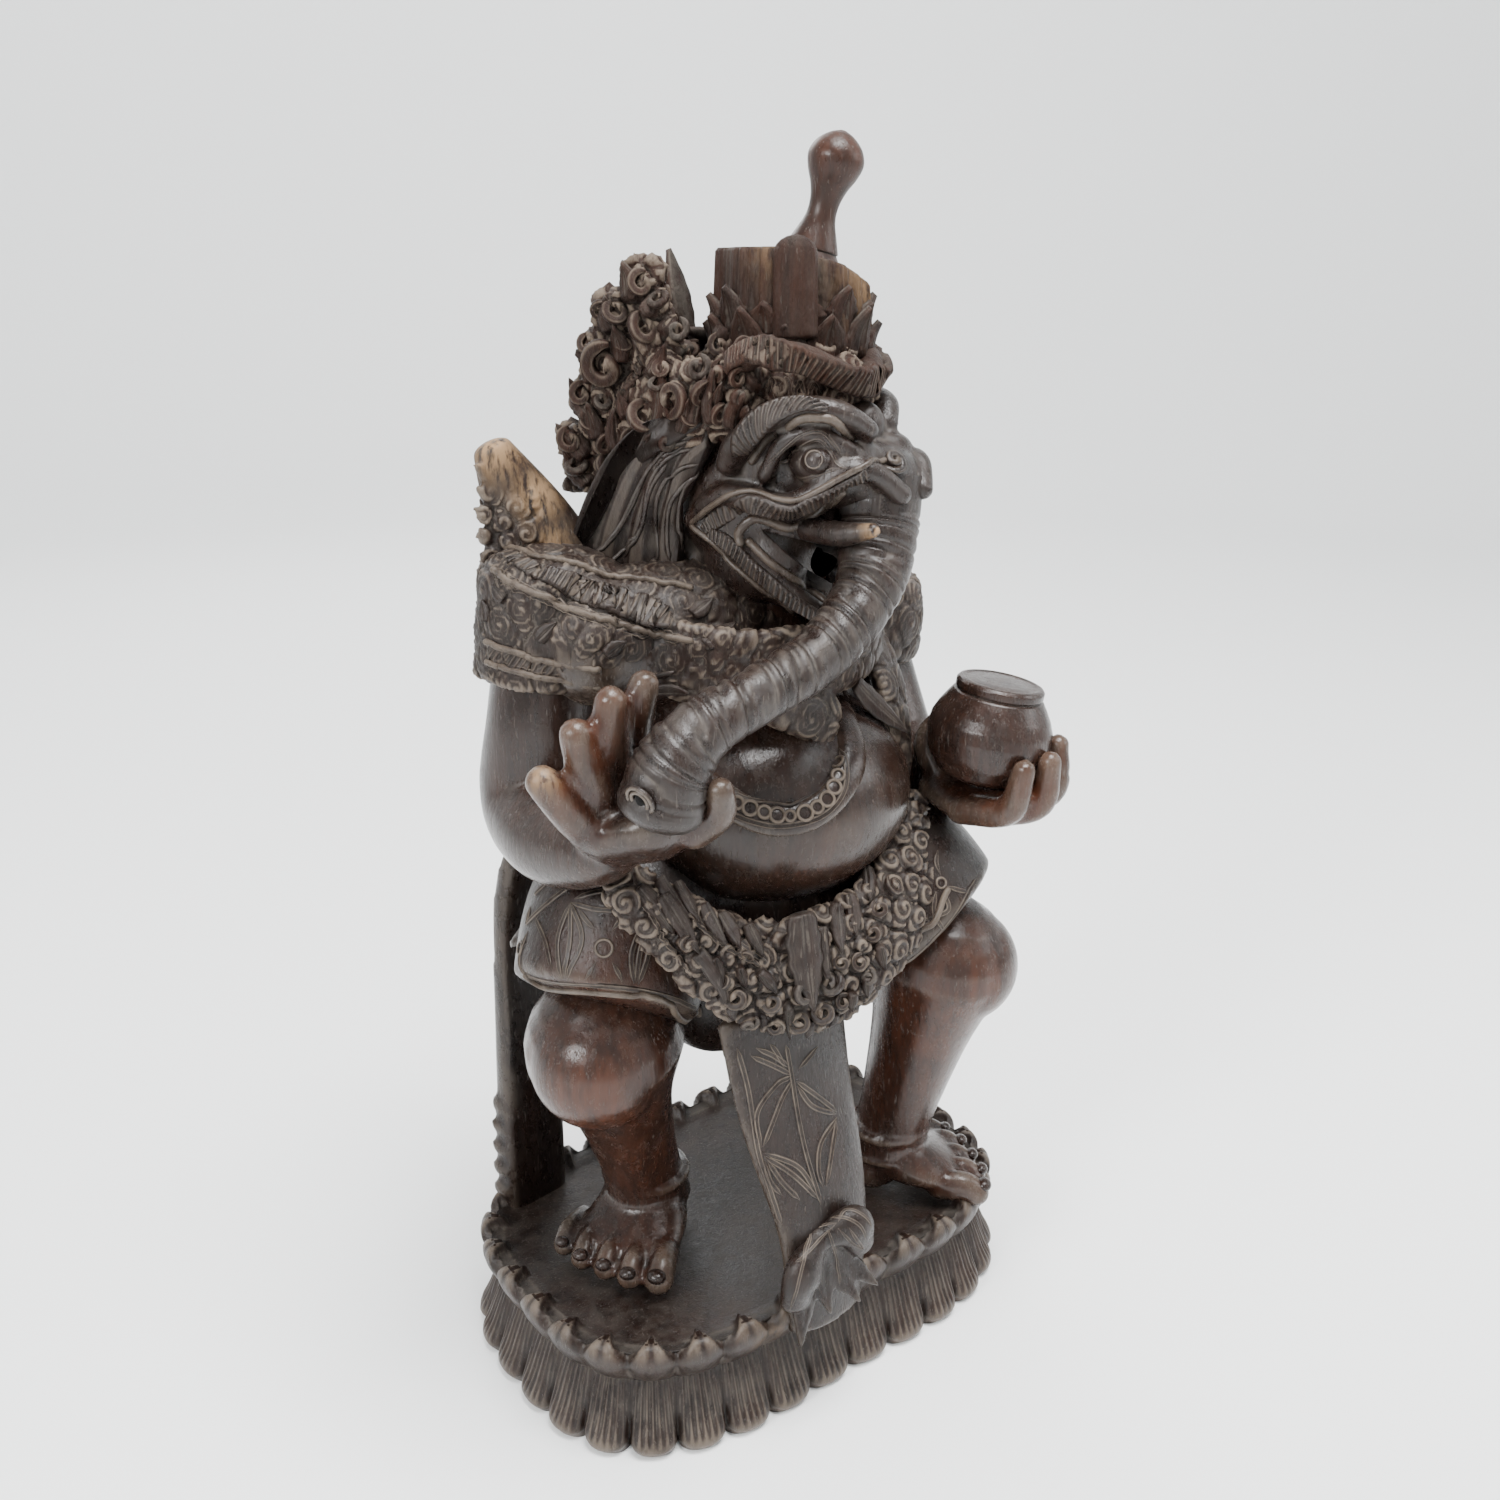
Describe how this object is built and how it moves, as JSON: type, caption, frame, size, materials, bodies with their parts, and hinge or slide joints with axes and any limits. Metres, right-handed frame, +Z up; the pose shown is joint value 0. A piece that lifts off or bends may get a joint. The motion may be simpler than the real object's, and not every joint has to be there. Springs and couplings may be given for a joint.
{
  "type": "carved ganesha statue",
  "caption": "Carved dark hardwood Ganesha standing with bent knees on an oval lotus base: scrolled crown with a turned finial, trunk tip in one hand, jar in the other.",
  "frame": {"origin": "middle of the base's flat underside, on the floor", "axes": "+Z up; the base's long side lies along X, the figure faces -Y and its own left hand is at +X"},
  "size_m": [0.2782, 0.2023, 0.5613],
  "materials": {
    "carved_hardwood": "dark stained and hand polished, with grey dust in the carving",
    "finial_wood": "worn satin, lighter and redder than the figure"
  },
  "bodies": {
    "root": {"carved_ganesha": "carved_hardwood", "crown_finial": "finial_wood"}
  },
  "joints": []
}
